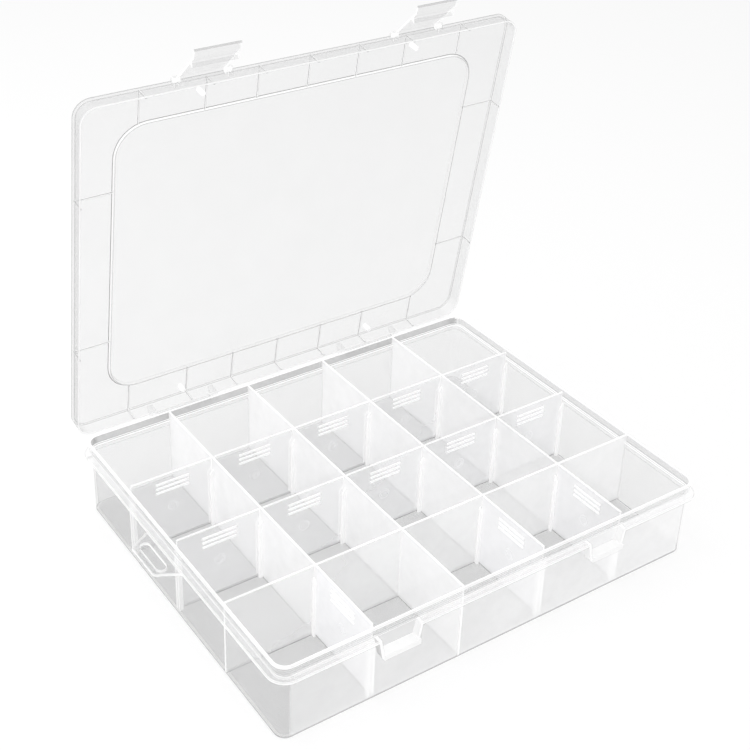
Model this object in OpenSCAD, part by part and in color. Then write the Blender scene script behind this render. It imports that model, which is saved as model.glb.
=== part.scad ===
// Embroidery thread box: clear compartment tray, hinged lid, swing latches and lift-out dividers.
// Millimetres. X runs along the front, Y to the back, Z up. The origin is the middle of the tray's underside.
// The lid is drawn standing open and the latches swung out, as the box is shown.

/* [Tray] */
// Width of the tray over its rim
tray_w = 342; // [290:1:420]
// Depth of the tray over its rim
tray_d = 272; // [225:1:330]
// Height of the tray from its underside to the top of the rim
tray_h = 60; // [50:1:80]
// Thickness of the outer walls
wall_t = 1.4; // [1.2:0.1:2.0]
// Thickness of the floor
floor_t = 1.6; // [1.2:0.1:3.0]
// Corner radius of the rim, seen from above
corner_r = 10; // [8:1:18]

/* [Rim] */
// Thickness of the upright lip above the ledge
lip_t = 1.3; // [1.0:0.1:1.6]
// How far the lip's top bead stands out from the lip
bead_out = 0.7; // [0.4:0.1:1.0]
// Height of the bead
bead_h = 1.8; // [1.0:0.1:3.0]
// How far the outer walls are set in from the bead
wall_inset = 2.4; // [1.8:0.1:3.0]
// Depth of the inner ledge below the top of the rim
ledge_drop = 6.5; // [5:0.5:7]
// Thickness of the ledge
ledge_t = 1.6; // [1.2:0.1:2.0]
// Depth of the outer flange's top face below the top of the rim
flange_drop = 9.2; // [8.8:0.1:11.1]
// Thickness of the outer flange
flange_t = 2.4; // [1.8:0.1:3.0]
// How far the flange stands out from the bead
flange_out = 3.0; // [2.8:0.1:4.5]

/* [Compartments] */
// Thickness of the fixed partitions
partition_t = 1.4; // [1.0:0.1:2.0]
// Width of one guide rib, along the wall it stands on
guide_w = 1.5; // [1.0:0.1:2.5]
// How far a guide rib stands out from its wall
guide_out = 2.6; // [1.5:0.1:4.0]
// Depth of the guide ribs' upper ends below the top of the rim
guide_drop = 9.5; // [8.5:0.5:14]
// Height of the slanted upper end of a guide rib
guide_lead = 4; // [2:0.5:8]

/* [Dividers] */
// Thickness of a lift-out divider
divider_t = 1.3; // [1.0:0.1:2.0]
// Gap between a divider and each guide rib beside it
divider_side_gap = 0.35; // [0.3:0.05:0.8]
// Gap between a divider's end and the wall it faces
divider_end_gap = 0.5; // [0.3:0.1:1.5]
// Gap between a divider's lower edge and the floor
divider_floor_gap = 0.3; // [0.2:0.1:1.0]
// Length of the grip ridges near a divider's top
grip_len = 26; // [15:1:40]
// Height of one grip ridge, up the divider
grip_w = 1.7; // [0.8:0.1:2.0]
// How far a grip ridge stands out
grip_out = 0.6; // [0.3:0.1:1.0]
// Depth of the first grip ridge below the divider's top
grip_drop = 6; // [4:0.5:8]
// Distance from one grip ridge to the next
grip_step = 3.7; // [2.5:0.1:5.0]
// Outer radius of the round moulding mark on a divider
mark_r = 4.2; // [2:0.1:6]

/* [Lid] */
// Thickness of the lid's plates
lid_t = 1.4; // [1.2:0.1:2.0]
// Thickness of the lid's skirt
skirt_t = 1.3; // [1.0:0.1:1.8]
// Gap between the skirt and the tray's bead
skirt_gap = 0.8; // [0.7:0.1:1.4]
// Gap between the closed lid's panel and the top of the rim
panel_gap = 0.4; // [0.3:0.1:0.8]
// Gap between the skirt's edge and the flange when the lid is closed
seat_gap = 0.3; // [0.2:0.1:0.6]
// How far the border of the lid stands above its middle panel
border_rise = 1.4; // [1.0:0.1:1.4]
// Width of the border at the front and the back
border_y = 27; // [22:1:40]
// Width of the border at the sides
border_x = 30; // [22:1:40]
// Corner radius of the middle panel
panel_r = 22; // [12:1:30]
// Width of a stiffening rib
rib_w = 1.2; // [0.8:0.1:2.0]
// How far a stiffening rib stands in from the border
rib_out = 0.9; // [0.6:0.1:1.0]
// How far a rib stands in from the skirt
skirt_rib_out = 0.5; // [0.3:0.1:0.6]
// Radius of a locating peg
peg_r = 1.8; // [1.2:0.1:2.2]
// Length of a locating peg
peg_len = 7; // [4:0.5:8]
// Distance of the pegs' axes in from the lid's edge
peg_inset = 9.5; // [8:0.5:12]
// Angle from closed at which the lid stands open
lid_open = 80; // [0:1:180]

/* [Hinges] */
// Distance of each hinge and each latch from the middle of the box
station_x = 85; // [70:1:95]
// Distance of the hinge axis behind the lid's back face
hinge_out = 5.4; // [5.2:0.1:8]
// Depth of the hinge axis below the top of the rim
hinge_drop = 7.5; // [6:0.1:8]
// Length of the tray's hinge barrel
barrel_len = 46; // [30:1:50]
// Radius of the hinge barrel and of the ears' round ends
barrel_r = 3.0; // [2.6:0.1:3.4]
// Thickness of a hinge ear
ear_t = 4.5; // [3:0.5:6]
// Gap between an ear and the barrel's end
ear_gap = 0.5; // [0.3:0.1:1.0]
// Radius of the pivot pins
pin_r = 1.5; // [1.2:0.1:1.8]
// Running clearance between a pin and its bore, on the radius
pin_gap = 0.07; // [0.05:0.01:0.10]
// Length of a hinge pin inside the barrel
pin_len = 7; // [4:1:12]

/* [Latches] */
// Width of a latch
latch_w = 34; // [26:1:38]
// Distance of the latch pivot in front of the lid's front face
latch_out = 3.0; // [3.0:0.1:4.0]
// Depth of the latch pivot below the top of the rim
latch_drop = 2.0; // [1.0:0.1:3.0]
// Radius of the latch's barrel
latch_r = 2.3; // [2.3:0.1:2.5]
// Thickness of the latch's plate
latch_t = 1.5; // [1.2:0.1:2.0]
// Length of the latch from its pivot to the end of the thumb lip
latch_len = 34; // [32:1:38]
// How far the thumb lip flares out
thumb_out = 3; // [1:0.5:5]
// Height of the latch's straight end, above the thumb lip's bend
thumb_h = 5; // [3:0.5:7]
// Thickness of the latch's hook
hook_t = 2.2; // [1.6:0.1:3.0]
// How far the hook reaches in under the catch bar
hook_bite = 2.6; // [1.5:0.1:3.5]
// Gap between the hook and the underside of the catch bar
hook_gap = 0.35; // [0.3:0.05:0.6]
// Thickness of a pivot lug on the lid
lug_t = 4.5; // [3:0.5:6]
// Radius of a pivot lug's round end
lug_r = 2.7; // [2.5:0.1:2.9]
// Gap between a lug and the latch's end
lug_gap = 0.4; // [0.3:0.1:0.8]
// How much deeper a lug is at its root than at its round end, above and below
lug_flare = 1; // [0:0.5:2]
// How far a pivot stub ends inside its lug's outer face
stub_inset = 0.5; // [0.2:0.1:1.5]
// Angle from closed at which the latches stand open
latch_open = 52; // [0:1:120]

/* [Catches] */
// Depth of the catch bar's underside below the top of the rim
catch_drop = 24; // [22:0.5:28]
// Height of the catch bar
catch_h = 4; // [3:0.5:6]
// Gap between the catch bar and the closed latch's plate
catch_gap = 0.5; // [0.4:0.1:1.0]
// Width over the catch's legs, at the flange
catch_w = 34; // [30:1:40]
// Width over the catch's legs, at the bar
catch_foot_w = 28; // [24:1:32]
// Thickness of a leg of the catch
catch_leg_t = 2.4; // [2:0.1:4]

/* [Hang Tab] */
// How far the hang tab stands out from the flange
tab_out = 16; // [14:1:20]
// Length of the tab's outer edge
tab_len = 36; // [36:1:50]
// Length of the tab where it meets the flange
tab_root = 50; // [46:1:64]
// Rounding of the tab's outer corners
tab_r = 4; // [2:0.5:6]
// Length of the hang slot
slot_len = 30; // [20:1:34]
// Width of the hang slot
slot_w = 7; // [5:0.5:8]
// Distance of the tab behind the middle of the tray
tab_y = 4; // [-20:1:20]

/* [Hidden] */
$fn = 48;

// Small overlap that makes joined shapes one solid
join = 0.3;
// Overshoot of a cutting shape past the faces it cuts
cut = 1;

// The outline of the lip is divided evenly into columns along X and rows along Y
columns = 5;
rows = 4;
col_pitch = (tray_w - 2 * bead_out) / columns;
row_pitch = (tray_d - 2 * bead_out) / rows;
// Lines between columns, numbered 1 to 4 from the left
function col_line(i) = (i - columns / 2) * col_pitch;
// Lines between rows, numbered 1 to 3 from the back
function row_line(j) = (rows / 2 - j) * row_pitch;
front_line = row_line(3);

// Half sizes of the tray's faces, from the bead inward
bead_x = tray_w / 2;
bead_y = tray_d / 2;
lip_in = bead_out + lip_t;
wall_in = wall_inset + wall_t;
ledge_z = tray_h - ledge_drop;
flange_z = tray_h - flange_drop;
guide_z = tray_h - guide_drop;
slot_gap = divider_t + 2 * divider_side_gap;

// Sizes of the closed lid
skirt_in = skirt_gap + skirt_t;
lid_x = bead_x + skirt_in;
lid_y = bead_y + skirt_in;
skirt_z = flange_z + seat_gap;
panel_z = tray_h + panel_gap;
border_z = panel_z + border_rise;
lid_top = border_z + lid_t;
rib_x = [0, 40, 79.5, 128];
rib_y = 64;
lid_corner_r = corner_r + skirt_in;

// Hinge axis, behind the box, and latch axis, in front of it
hinge_y = lid_y + hinge_out;
hinge_z = tray_h - hinge_drop;
latch_y = -lid_y - latch_out;
latch_z = tray_h - latch_drop;
bore_r = pin_r + pin_gap;
// Direction, from the axis, of the point where an ear's upper edge meets its round end
ear_slope = 80;
// The ears' lower edges meet the round ends this far above their lowest points
ear_trim = 0.03;

// Catch bar: its front face stays clear of the closed latch's plate
plate_in = latch_r - latch_t;
catch_y = latch_y - plate_in + catch_gap;
catch_z = tray_h - catch_drop;
wall_face_y = -bead_y + wall_inset;

// A plate with round corners, lying flat, from z0 up to z1
module rounded_plate(half_x, half_y, radius, z0, z1) {
    r = max(radius, 0.5);
    translate([0, 0, z0])
        linear_extrude(z1 - z0)
            union() {
                square([2 * (half_x - r), 2 * half_y], center = true);
                square([2 * half_x, 2 * (half_y - r)], center = true);
                for (sx = [-1, 1], sy = [-1, 1])
                    translate([sx * (half_x - r), sy * (half_y - r)])
                        circle(r);
            }
}

// A ring between the tray's outline set in by out_in and the same outline set in by in_in
module rim_ring(out_in, in_in, z0, z1) {
    difference() {
        rounded_plate(bead_x - out_in, bead_y - out_in, corner_r - out_in, z0, z1);
        rounded_plate(bead_x - in_in, bead_y - in_in, corner_r - in_in, z0 - cut, z1 + cut);
    }
}

// A box given by its low and high corners
module span(low, high) {
    translate(low)
        cube(high - low);
}

// One guide rib, standing out along +X from the plane x = 0, with a slanted upper end
module guide_rib() {
    rotate([90, 0, 0])
        linear_extrude(guide_w, center = true)
            polygon([
                [-join, floor_t - join],
                [guide_out, floor_t - join],
                [guide_out, guide_z - guide_lead],
                [0, guide_z],
                [-join, guide_z]
            ]);
}

// The two ribs that hold one end of a divider, standing on a wall at x, facing along dir
module guide_pair(dir) {
    for (side = [-1, 1])
        translate([0, side * (slot_gap + guide_w) / 2, 0])
            mirror([dir < 0 ? 1 : 0, 0, 0])
                guide_rib();
}

// Guides of the dividers that run along X
module row_guides(y) {
    for (i = [1:4], dir = [-1, 1])
        translate([col_line(i) + dir * partition_t / 2, y, 0])
            guide_pair(dir);
    for (dir = [-1, 1])
        translate([-dir * (bead_x - wall_in), y, 0])
            guide_pair(dir);
}

// Guides of a divider that runs along Y in the front row
module front_guides(x) {
    translate([x, -bead_y + wall_in, 0])
        rotate([0, 0, 90])
            guide_pair(1);
    translate([x, front_line - partition_t / 2, 0])
        rotate([0, 0, 90])
            guide_pair(-1);
}

// Fixed partitions: four from front to back, one across, and one short one in the front row
module partitions() {
    low = floor_t - join;
    half = partition_t / 2;
    edge_x = bead_x - lip_in + join;
    edge_y = bead_y - lip_in + join;
    for (i = [1:4])
        span([col_line(i) - half, front_line, low], [col_line(i) + half, edge_y, tray_h]);
    span([-edge_x, front_line - half, low], [edge_x, front_line + half, tray_h]);
    span([col_line(2) - half, -edge_y, low], [col_line(2) + half, front_line, tray_h]);
}

// Outer flange, open where the catches are
module flange() {
    difference() {
        rim_ring(-flange_out, wall_in - join, flange_z - flange_t, flange_z);
        for (side = [-1, 1])
            span(
                [side * station_x - catch_w / 2 + catch_leg_t, -bead_y - flange_out - cut, flange_z - flange_t - cut],
                [side * station_x + catch_w / 2 - catch_leg_t, wall_face_y, flange_z + cut]
            );
    }
}

// One catch: two leaning legs below the flange and a bar between them
module catch() {
    leg_y = -bead_y - flange_out;
    for (side = [-1, 1])
        translate([0, wall_face_y + join, 0])
            rotate([90, 0, 0])
                linear_extrude(wall_face_y + join - leg_y)
                    polygon([
                        [side * catch_w / 2, flange_z],
                        [side * (catch_w / 2 - catch_leg_t), flange_z],
                        [side * (catch_foot_w / 2 - catch_leg_t), catch_z],
                        [side * catch_foot_w / 2, catch_z]
                    ]);
    span(
        [-catch_foot_w / 2, catch_y, catch_z],
        [catch_foot_w / 2, wall_face_y + join, catch_z + catch_h]
    );
}

// One hinge barrel on the tray, carried by a web that grows out of the flange and thickens below it
module hinge_barrel() {
    rotate([0, 90, 0])
        cylinder(r = barrel_r, h = barrel_len, center = true);
    span([-barrel_len / 2, -barrel_r, flange_z - flange_t - hinge_z], [barrel_len / 2, 0, 0]);
    span(
        [-barrel_len / 2, bead_y - wall_in - hinge_y + join, flange_z - flange_t - hinge_z],
        [barrel_len / 2, 0, flange_z - hinge_z]
    );
}

// Hang tab with its slot, at the height of the flange on the left side
module hang_tab() {
    root_x = -bead_x - flange_out + join;
    tip_x = -bead_x - flange_out - tab_out;
    translate([0, tab_y, flange_z - flange_t])
        linear_extrude(flange_t)
            difference() {
                union() {
                    polygon([
                        [root_x, tab_root / 2],
                        [tip_x + tab_r, tab_len / 2],
                        [tip_x + tab_r, -tab_len / 2],
                        [root_x, -tab_root / 2]
                    ]);
                    translate([tip_x, -tab_len / 2 + tab_r])
                        square([tab_r + join, tab_len - 2 * tab_r]);
                    for (side = [-1, 1])
                        translate([tip_x + tab_r, side * (tab_len / 2 - tab_r)])
                            circle(tab_r);
                }
                translate([tip_x + tab_out / 2, 0]) {
                    square([slot_w, slot_len - slot_w], center = true);
                    for (side = [-1, 1])
                        translate([0, side * (slot_len - slot_w) / 2])
                            circle(slot_w / 2);
                }
            }
}

module tray() {
    color("whitesmoke", 0.5)
        difference() {
            union() {
                rounded_plate(bead_x - wall_inset, bead_y - wall_inset, corner_r - wall_inset, 0, floor_t);
                rim_ring(wall_inset, wall_in, floor_t - join, ledge_z);
                rim_ring(bead_out, wall_in, ledge_z - ledge_t, ledge_z);
                rim_ring(bead_out, lip_in, ledge_z - join, tray_h);
                rim_ring(0, lip_in - join, tray_h - bead_h, tray_h);
                flange();
                partitions();
                row_guides(row_line(1));
                row_guides(row_line(2));
                for (i = [1, 3, 4])
                    front_guides(col_line(i));
                hang_tab();
                for (side = [-1, 1]) {
                    translate([side * station_x, 0, 0])
                        catch();
                    translate([side * station_x, hinge_y, hinge_z])
                        hinge_barrel();
                }
            }
            for (side = [-1, 1])
                translate([side * station_x, hinge_y, hinge_z])
                    rotate([0, 90, 0])
                        cylinder(r = bore_r, h = barrel_len + 2 * cut, center = true);
        }
}

// Carries the closed lid to where it stands open
module as_opened() {
    translate([0, hinge_y, hinge_z])
        rotate([-lid_open, 0, 0])
            translate([0, -hinge_y, -hinge_z])
                children();
}

// Border plate, middle panel and skirt of the closed lid
module lid_shell() {
    panel_half_x = lid_x - border_x;
    panel_half_y = lid_y - border_y;
    difference() {
        rounded_plate(lid_x, lid_y, lid_corner_r, skirt_z, lid_top);
        rounded_plate(lid_x - skirt_t, lid_y - skirt_t, lid_corner_r - skirt_t, skirt_z - cut, border_z);
        rounded_plate(panel_half_x, panel_half_y, panel_r, border_z - cut, lid_top + cut);
    }
    rounded_plate(panel_half_x + lid_t, panel_half_y + lid_t, panel_r + lid_t, panel_z, panel_z + lid_t);
}

// Stiffening ribs across the lid's border, running up the inside of the skirt
module lid_ribs() {
    inner_x = lid_x - skirt_t;
    inner_y = lid_y - skirt_t;
    low = border_z - rib_out;
    for (side = [-1, 1]) {
        for (x = concat([for (v = rib_x) v], [for (v = rib_x) if (v > 0) -v])) {
            span(
                [x - rib_w / 2, min(side * inner_y, side * (lid_y - border_y)), low],
                [x + rib_w / 2, max(side * inner_y, side * (lid_y - border_y)), border_z + join]
            );
            span(
                [x - rib_w / 2, side > 0 ? inner_y - skirt_rib_out : -inner_y - join, skirt_z],
                [x + rib_w / 2, side > 0 ? inner_y + join : -inner_y + skirt_rib_out, border_z]
            );
        }
        for (y = [-rib_y, rib_y]) {
            span(
                [min(side * inner_x, side * (lid_x - border_x)), y - rib_w / 2, low],
                [max(side * inner_x, side * (lid_x - border_x)), y + rib_w / 2, border_z + join]
            );
            span(
                [side > 0 ? inner_x - skirt_rib_out : -inner_x - join, y - rib_w / 2, skirt_z],
                [side > 0 ? inner_x + join : -inner_x + skirt_rib_out, y + rib_w / 2, border_z]
            );
        }
    }
}

// One hinge ear of the lid, standing back from the skirt to the hinge axis
module hinge_ear() {
    rotate([90, 0, 90])
        linear_extrude(ear_t, center = true) {
            polygon([
                [lid_y - join, skirt_z + join],
                [lid_y - join, tray_h + panel_gap],
                [hinge_y + barrel_r * cos(ear_slope), hinge_z + barrel_r * sin(ear_slope)],
                [hinge_y, hinge_z - barrel_r + ear_trim],
                [bead_y + flange_out + seat_gap, skirt_z + join]
            ]);
            translate([hinge_y, hinge_z])
                circle(barrel_r);
        }
}

// The two ears of one hinge and the pins that run into the tray's barrel
module hinge_ears() {
    ear_x = barrel_len / 2 + ear_gap + ear_t / 2;
    for (side = [-1, 1]) {
        translate([side * ear_x, 0, 0])
            hinge_ear();
        translate([side * (ear_x + ear_t / 2), hinge_y, hinge_z])
            rotate([0, -side * 90, 0])
                cylinder(r = pin_r, h = ear_t + ear_gap + pin_len);
    }
}

// One latch lug of the lid, standing forward from the skirt to the latch pivot
module latch_lug() {
    rotate([90, 0, 90])
        linear_extrude(lug_t, center = true) {
            polygon([
                [-lid_y + join, latch_z + lug_r + lug_flare],
                [-lid_y + join, latch_z - lug_r - lug_flare],
                [latch_y, latch_z - lug_r],
                [latch_y, latch_z + lug_r]
            ]);
            translate([latch_y, latch_z])
                circle(lug_r);
        }
}

module latch_lugs() {
    for (side = [-1, 1])
        translate([side * (latch_w / 2 + lug_gap + lug_t / 2), 0, 0])
            latch_lug();
}

module lid() {
    color("whitesmoke", 0.5)
        as_opened()
            difference() {
                union() {
                    lid_shell();
                    lid_ribs();
                    for (side = [-1, 1])
                        translate([side * station_x, 0, 0]) {
                            for (end = [-1, 1])
                                translate([0, end * (lid_y - peg_inset), border_z - peg_len])
                                    cylinder(r = peg_r, h = peg_len + join);
                            hinge_ears();
                            latch_lugs();
                        }
                }
                for (side = [-1, 1])
                    translate([side * station_x, latch_y, latch_z])
                        rotate([0, 90, 0])
                            cylinder(r = bore_r, h = latch_w + 2 * (lug_gap + lug_t + cut), center = true);
            }
}

// Profile of a closed latch in the plane across its pivot: first outward to the front, then up
module latch_profile() {
    hook_top = catch_z - hook_gap - latch_z;
    hook_reach = plate_in - catch_gap - hook_bite;
    kink = -latch_len + thumb_h;
    circle(latch_r);
    polygon([
        [plate_in, 0],
        [latch_r, 0],
        [latch_r, kink],
        [latch_r + thumb_out, -latch_len],
        [plate_in + thumb_out, -latch_len],
        [plate_in, kink]
    ]);
    polygon([
        [plate_in + join, hook_top],
        [hook_reach, hook_top],
        [hook_reach, hook_top - hook_t / 2],
        [plate_in + join, hook_top - hook_t * 1.5]
    ]);
}

// One latch with its two pivot pins, swung out and carried by the open lid
module latch(side) {
    color("whitesmoke", 0.6)
        as_opened()
            translate([side * station_x, latch_y, latch_z])
                rotate([-latch_open, 0, 0]) {
                    rotate([90, 0, -90])
                        linear_extrude(latch_w, center = true)
                            latch_profile();
                    rotate([0, 90, 0])
                        cylinder(r = pin_r, h = latch_w + 2 * (lug_gap + lug_t - stub_inset), center = true);
                }
}

// One lift-out divider of a given length, standing along X with its grip ridges to the front
module divider(length) {
    low = floor_t + divider_floor_gap;
    color("white", 0.6) {
        span([-length / 2, -divider_t / 2, low], [length / 2, divider_t / 2, tray_h]);
        for (n = [0:2])
            span(
                [-grip_len / 2, -divider_t / 2 - grip_out, tray_h - grip_drop - n * grip_step - grip_w],
                [grip_len / 2, 0, tray_h - grip_drop - n * grip_step]
            );
        translate([0, 0, (low + tray_h) / 2])
            rotate([90, 0, 0])
                difference() {
                    cylinder(r = mark_r, h = divider_t / 2 + grip_out / 2);
                    translate([0, 0, divider_t / 2])
                        cylinder(r = mark_r - grip_w, h = cut);
                }
    }
}

// A divider across column number i at the depth y
module row_divider(i, y) {
    left = i == 1 ? -bead_x + wall_in : col_line(i - 1) + partition_t / 2;
    right = i == columns ? bead_x - wall_in : col_line(i) - partition_t / 2;
    translate([(left + right) / 2, y, 0])
        divider(right - left - 2 * divider_end_gap);
}

// A divider across the front row, on column line number i
module front_divider(i) {
    front = -bead_y + wall_in;
    back = front_line - partition_t / 2;
    translate([col_line(i), (front + back) / 2, 0])
        rotate([0, 0, -90])
            divider(back - front - 2 * divider_end_gap);
}

tray();
lid();
latch(-1);  // latch_left
latch(1);  // latch_right
row_divider(1, row_line(1));  // divider_back_1
row_divider(2, row_line(1));  // divider_back_2
row_divider(3, row_line(1));  // divider_back_3
row_divider(4, row_line(1));  // divider_back_4
row_divider(5, row_line(1));  // divider_back_5
row_divider(1, row_line(2));  // divider_middle_1
row_divider(2, row_line(2));  // divider_middle_2
row_divider(3, row_line(2));  // divider_middle_3
row_divider(4, row_line(2));  // divider_middle_4
row_divider(5, row_line(2));  // divider_middle_5
front_divider(1);  // divider_front_1
front_divider(3);  // divider_front_3
front_divider(4);  // divider_front_4
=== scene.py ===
"""Embroidery thread box: the looks of the clear tray, lid, latches and lift-out dividers."""

import math

import bmesh
import bpy
from bpy.props import FloatProperty, FloatVectorProperty, PointerProperty
from mathutils import Matrix, Vector


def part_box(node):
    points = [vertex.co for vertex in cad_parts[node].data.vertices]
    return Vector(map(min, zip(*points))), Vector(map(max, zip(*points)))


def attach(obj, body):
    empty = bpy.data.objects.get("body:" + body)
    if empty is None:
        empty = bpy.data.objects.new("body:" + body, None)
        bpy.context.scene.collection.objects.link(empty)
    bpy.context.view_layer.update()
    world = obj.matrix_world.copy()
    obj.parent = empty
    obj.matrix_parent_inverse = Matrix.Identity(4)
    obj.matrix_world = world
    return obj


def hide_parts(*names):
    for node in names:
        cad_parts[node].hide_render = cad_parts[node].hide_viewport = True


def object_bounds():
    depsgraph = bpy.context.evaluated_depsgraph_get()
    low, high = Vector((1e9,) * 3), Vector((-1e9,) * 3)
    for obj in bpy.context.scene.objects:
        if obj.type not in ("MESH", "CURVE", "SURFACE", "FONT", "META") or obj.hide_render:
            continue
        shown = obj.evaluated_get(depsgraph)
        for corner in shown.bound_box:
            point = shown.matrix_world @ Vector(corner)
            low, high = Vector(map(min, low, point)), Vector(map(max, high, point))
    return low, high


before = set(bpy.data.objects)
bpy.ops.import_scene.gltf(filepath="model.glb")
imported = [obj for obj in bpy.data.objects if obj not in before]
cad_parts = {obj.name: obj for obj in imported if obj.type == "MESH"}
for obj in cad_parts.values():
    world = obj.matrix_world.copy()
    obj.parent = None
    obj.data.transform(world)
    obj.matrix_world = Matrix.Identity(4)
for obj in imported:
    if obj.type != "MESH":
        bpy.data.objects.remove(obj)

bl_info = {
    "name": "Embroidery Thread Box",
    "version": (1, 0, 0),
    "blender": (4, 5, 0),
    "location": "3D View > Sidebar > Thread Box",
    "description": "Builds the visible pieces of a clear compartment box, with its studio",
    "category": "Object",
}

CAD_BOX = [list(corner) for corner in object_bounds()]
MM = 0.001
DIVIDERS = sorted(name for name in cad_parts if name.startswith("divider_"))
LATCHES = ["latch_left", "latch_right"]
FRONT_DIVIDERS = [name for name in DIVIDERS if "_front_" in name]

# Lines between columns count from 1 at the left, lines between rows from 1 at the back
COLUMNS, ROWS = 5, 4
CROSS_LINE, FIXED_FRONT_LINE = 3, 2
DIVIDER_ROW_LINES, DIVIDER_FRONT_LINES = (1, 2), (1, 3, 4)

# Places in a moulded piece's list of materials; FLOOR and PARTITION are the tray's, SKIRT the lid's
# EDGE is a painted highlight, CREASE a painted highlight that turns to painted shade edge-on, LINE and FOLD
# are painted shade lines, PARTITION is haze painted light, and FLOOR and SKIRT are haze painted darker as
# shade
FACE, EDGE, CREASE, LINE, FOLD, FLOOR, PARTITION = range(7)
SKIRT = FLOOR

# Faces narrower than this take the bright edge material: a painted highlight and painted glow on the
# plastic's thin faces
THIN = 2.7 * MM
# Facets of a quarter turn, of a whole turn, and of a round end
CORNER_STEPS, ROUND_STEPS, ARC_STEPS = 8, 32, 12
# How far down from its top a partition or divider takes a painted highlight and glow, and how high the
# painted shade line at its foot is
PAINTED_LIGHT_TOP, PAINTED_SHADE_FOOT = 0.7 * MM, 0.8 * MM
# How deep a part reaches into the one that carries it
OVERLAP = 0.3 * MM
# Corners nearer than this are one; edges folded by more than this are rounded, in this many steps
MERGE_DISTANCE, SHARP_ANGLE, BEVEL_STEPS = 1e-7, math.radians(28), 2

# Sizes of the moulded pieces, as in the CAD model. BEAD_ and LID_X and _Y are half widths; other names that
# end in _X, _Y or _Z are places, in the frame's axes, of the closed box
TRAY_H, BEAD_X, BEAD_Y, CORNER_R = 60.0 * MM, 171.0 * MM, 136.0 * MM, 10.0 * MM
WALL_INSET, WALL_IN, FLOOR_T = 2.4 * MM, 3.8 * MM, 1.6 * MM
BEAD_OUT, BEAD_H, LIP_IN = 0.7 * MM, 1.8 * MM, 2.0 * MM
LEDGE_Z, LEDGE_T = 53.5 * MM, 1.6 * MM
FLANGE_Z, FLANGE_T, FLANGE_OUT, FLANGE_ROUND = 50.8 * MM, 2.4 * MM, 3.0 * MM, 0.7 * MM
PARTITION_T = 1.4 * MM
GUIDE_OUT, GUIDE_W, GUIDE_Z, GUIDE_LEAD, SLOT_GAP = 2.6 * MM, 1.5 * MM, 50.5 * MM, 4.0 * MM, 2.0 * MM
STATION_X = 85.0 * MM
CATCH_W, CATCH_FOOT, CATCH_LEG, CATCH_H = 34.0 * MM, 28.0 * MM, 2.4 * MM, 4.0 * MM
CATCH_Y, CATCH_Z, CATCH_GAP = -141.4 * MM, 36.0 * MM, 0.5 * MM
HINGE_Y, HINGE_Z, BARREL_R, BARREL_LEN = 143.5 * MM, 52.5 * MM, 3.0 * MM, 46.0 * MM
PIN_R, PIN_GAP, PIN_LEN = 1.5 * MM, 0.07 * MM, 7.0 * MM
EAR_T, EAR_GAP, EAR_SLOPE = 4.5 * MM, 0.5 * MM, math.radians(80)
TAB_OUT, TAB_LEN, TAB_ROOT, TAB_R, TAB_Y = 16.0 * MM, 36.0 * MM, 50.0 * MM, 4.0 * MM, 4.0 * MM
SLOT_LEN, SLOT_W = 30.0 * MM, 7.0 * MM
LID_X, LID_Y, SKIRT_IN, SKIRT_T, SKIRT_Z = 173.1 * MM, 138.1 * MM, 2.1 * MM, 1.3 * MM, 51.1 * MM
LID_T, PANEL_Z, BORDER_Z, LID_TOP = 1.4 * MM, 60.4 * MM, 61.8 * MM, 63.2 * MM
BORDER_X, BORDER_Y, PANEL_R, SEAT_GAP = 30.0 * MM, 27.0 * MM, 22.0 * MM, 0.3 * MM
RIB_W, RIB_OUT, SKIRT_RIB, RIB_Y = 1.2 * MM, 0.9 * MM, 0.5 * MM, 64.0 * MM
RIB_X = (0.0, 40.0 * MM, 79.5 * MM, 128.0 * MM)
PEG_R, PEG_LEN, PEG_INSET, ROD_EDGE = 1.8 * MM, 7.0 * MM, 9.5 * MM, 0.3 * MM
LATCH_Y, LATCH_Z, LATCH_W, LATCH_R, LATCH_T = -141.1 * MM, 58.0 * MM, 34.0 * MM, 2.3 * MM, 1.5 * MM
LATCH_LEN, THUMB_OUT, THUMB_H = 34.0 * MM, 3.0 * MM, 5.0 * MM
HOOK_T, HOOK_BITE, HOOK_GAP = 2.2 * MM, 2.6 * MM, 0.35 * MM
LUG_T, LUG_R, LUG_GAP, LUG_FLARE, STUB_INSET = 4.5 * MM, 2.7 * MM, 0.4 * MM, 1.0 * MM, 0.5 * MM
LID_OPEN, LATCH_OPEN = math.radians(80), math.radians(52)
# Grip ridges on a divider
GRIPS = 3

# Carries the closed lid to where it stands open
OPENED = (
    Matrix.Translation((0.0, HINGE_Y, HINGE_Z)) @ Matrix.Rotation(-LID_OPEN, 4, "X")
    @ Matrix.Translation((0.0, -HINGE_Y, -HINGE_Z)))

# Roughness of the plastics
SHELL_ROUGHNESS, FLOOR_ROUGHNESS, PARTITION_ROUGHNESS, EDGE_ROUGHNESS = 0.10, 0.14, 0.16, 0.3
LID_ROUGHNESS, LATCH_ROUGHNESS, DIVIDER_ROUGHNESS, ROUGHNESS_SPREAD = 0.08, 0.12, 0.24, 0.2
# How much of a plastic's haze holds light back, which makes the shadows inside the tray
SHELL_SHADOW, FLOOR_SHADOW, CLEAR_SHADOW = 0.35, 0.7, 0.1
# How strongly plain faces and dark lines reflect, and the plastic's refractive index, which sets that too
FACE_SPECULAR, LINE_SPECULAR, PLASTIC_IOR = 0.5, 0.1, 1.49
# Soft clouds in the haze: their scale, how much they tint it and how much they thicken it
CLOUD_SCALE, CLOUD_TINT, HAZE_SPREAD = 24.0, 0.97, 0.08
# Fine unevenness of the surface: its scale, strength and depth
FINE_SCALE, FINE_STRENGTH, FINE_DEPTH = 170.0, 0.3, 0.02 * MM

# The studio floor: its grey, what is added to it where it is seen, and its roughness
STAGE_GREY, STAGE_LIFT, STAGE_ROUGHNESS = 0.90, 0.065, 0.9
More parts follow.
